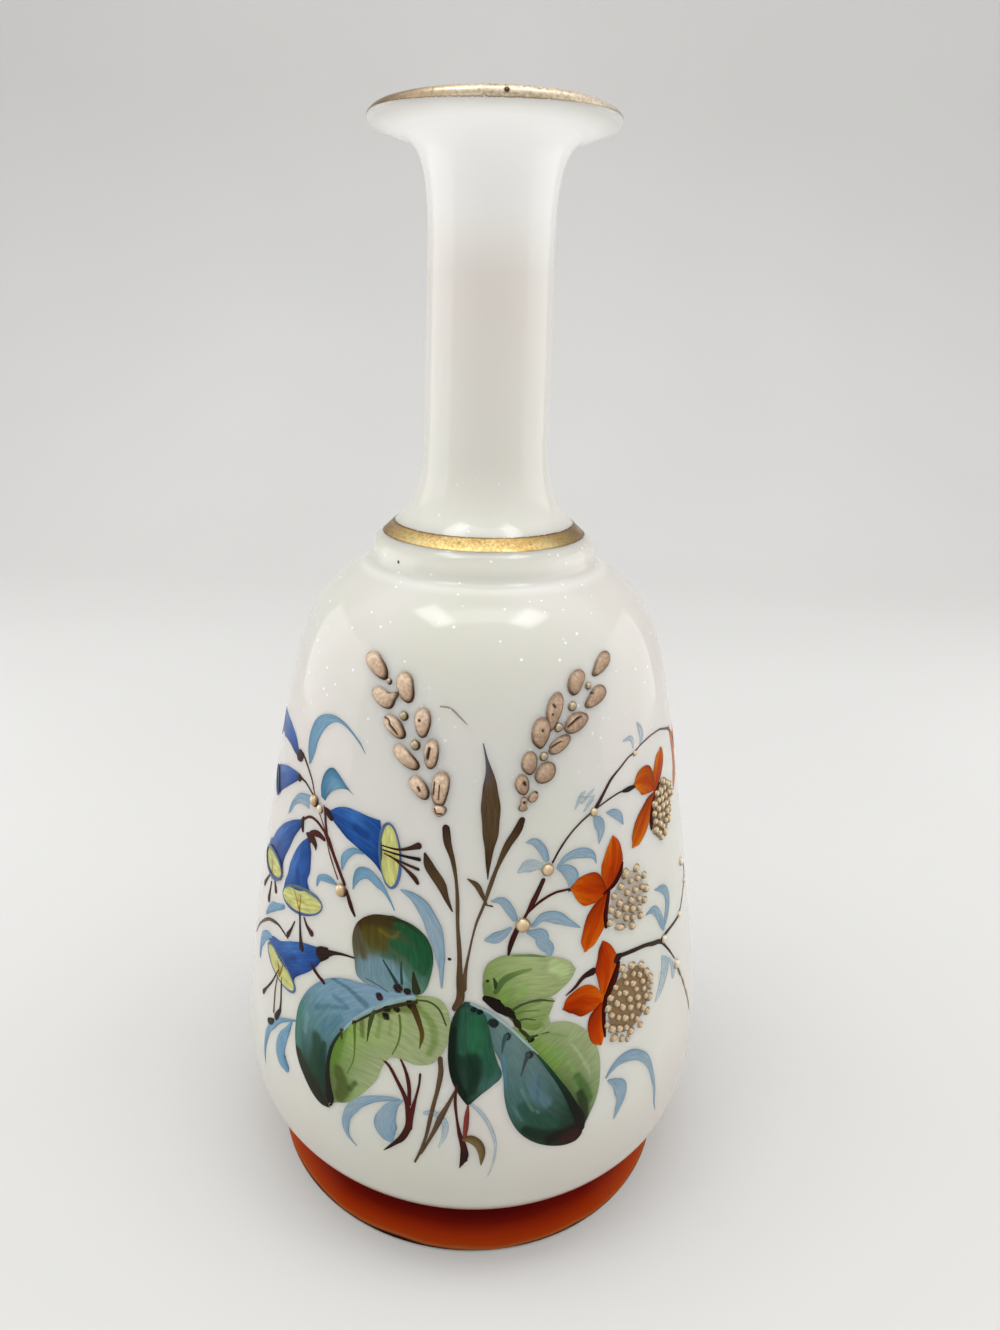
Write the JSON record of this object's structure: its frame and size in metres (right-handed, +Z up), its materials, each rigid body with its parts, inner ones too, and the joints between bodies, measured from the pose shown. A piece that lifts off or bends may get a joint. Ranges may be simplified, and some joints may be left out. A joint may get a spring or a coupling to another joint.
{
  "type": "opaque glass vase",
  "caption": "Blown opal glass bottle vase with a spread foot, stepped collar, long neck, flat flared lip and a raised enamelled flower spray.",
  "frame": {"origin": "centre of the ground foot ring on the table, on the vase's own axis", "axes": "+Z up along the vase's axis from foot to lip, -Y towards the painted front, +X to the right of someone who looks at the front"},
  "size_m": [0.1242, 0.1242, 0.2571],
  "materials": {
    "opal_glass": "gloss, opaque milky white",
    "red_enamel": "gloss, fired red enamel, darker at its top edge",
    "gilding": "satin fired gold, worn at its edges",
    "wheat_enamel": "satin raised enamel, tan with brown outlines",
    "gilt_bead": "satin, raised enamel dots with gilding on top",
    "orange_enamel": "gloss, translucent orange-red enamel",
    "blue_enamel": "gloss, cobalt blue enamel",
    "green_enamel": "gloss, leaf green enamel with blue-grey passages",
    "dark_green_enamel": "gloss, dark blue-green enamel"
  },
  "bodies": {
    "root": {"glass_body": "opal_glass", "foot_enamel_band": "red_enamel", "collar_gilding": "gilding", "rim_gilding": "gilding", "wheat_grain_left_1": "wheat_enamel", "wheat_grain_left_2": "wheat_enamel", "wheat_grain_left_3": "wheat_enamel", "wheat_grain_left_4": "wheat_enamel", "wheat_grain_left_5": "wheat_enamel", "wheat_grain_left_6": "wheat_enamel", "wheat_grain_left_7": "wheat_enamel", "wheat_grain_left_8": "wheat_enamel", "wheat_grain_left_9": "wheat_enamel", "wheat_grain_left_10": "wheat_enamel", "wheat_grain_right_1": "wheat_enamel", "wheat_grain_right_2": "wheat_enamel", "wheat_grain_right_3": "wheat_enamel", "wheat_grain_right_4": "wheat_enamel", "wheat_grain_right_5": "wheat_enamel", "wheat_grain_right_6": "wheat_enamel", "wheat_grain_right_7": "wheat_enamel", "wheat_grain_right_8": "wheat_enamel", "wheat_grain_right_9": "wheat_enamel", "wheat_grain_right_10": "wheat_enamel", "wheat_grain_right_11": "wheat_enamel", "wheat_grain_right_12": "wheat_enamel", "gilt_bead_ear_1": "gilt_bead", "gilt_bead_ear_2": "gilt_bead", "gilt_bead_ear_3": "gilt_bead", "gilt_bead_ear_4": "gilt_bead", "gilt_bead_ear_5": "gilt_bead", "gilt_bead_ear_6": "gilt_bead", "gilt_bead_ear_7": "gilt_bead", "gilt_bead_stem_1": "gilt_bead", "gilt_bead_stem_2": "gilt_bead", "gilt_bead_stem_3": "gilt_bead", "gilt_bead_stem_4": "gilt_bead", "gilt_bead_stem_5": "gilt_bead", "gilt_bead_stem_6": "gilt_bead", "seed_head_upper": "gilt_bead", "seed_head_middle": "gilt_bead", "seed_head_lower": "gilt_bead", "flower_upper": "orange_enamel", "flower_middle": "orange_enamel", "flower_lower": "orange_enamel", "bellflower_1": "blue_enamel", "bellflower_2": "blue_enamel", "bellflower_3": "blue_enamel", "bellflower_4": "blue_enamel", "bellflower_5": "blue_enamel", "bellflower_6": "blue_enamel", "left_leaf_round": "dark_green_enamel", "left_leaf_broad": "green_enamel", "right_leaf_dark": "dark_green_enamel", "right_leaf_upper": "green_enamel", "right_leaf_broad": "green_enamel"}
  },
  "joints": []
}
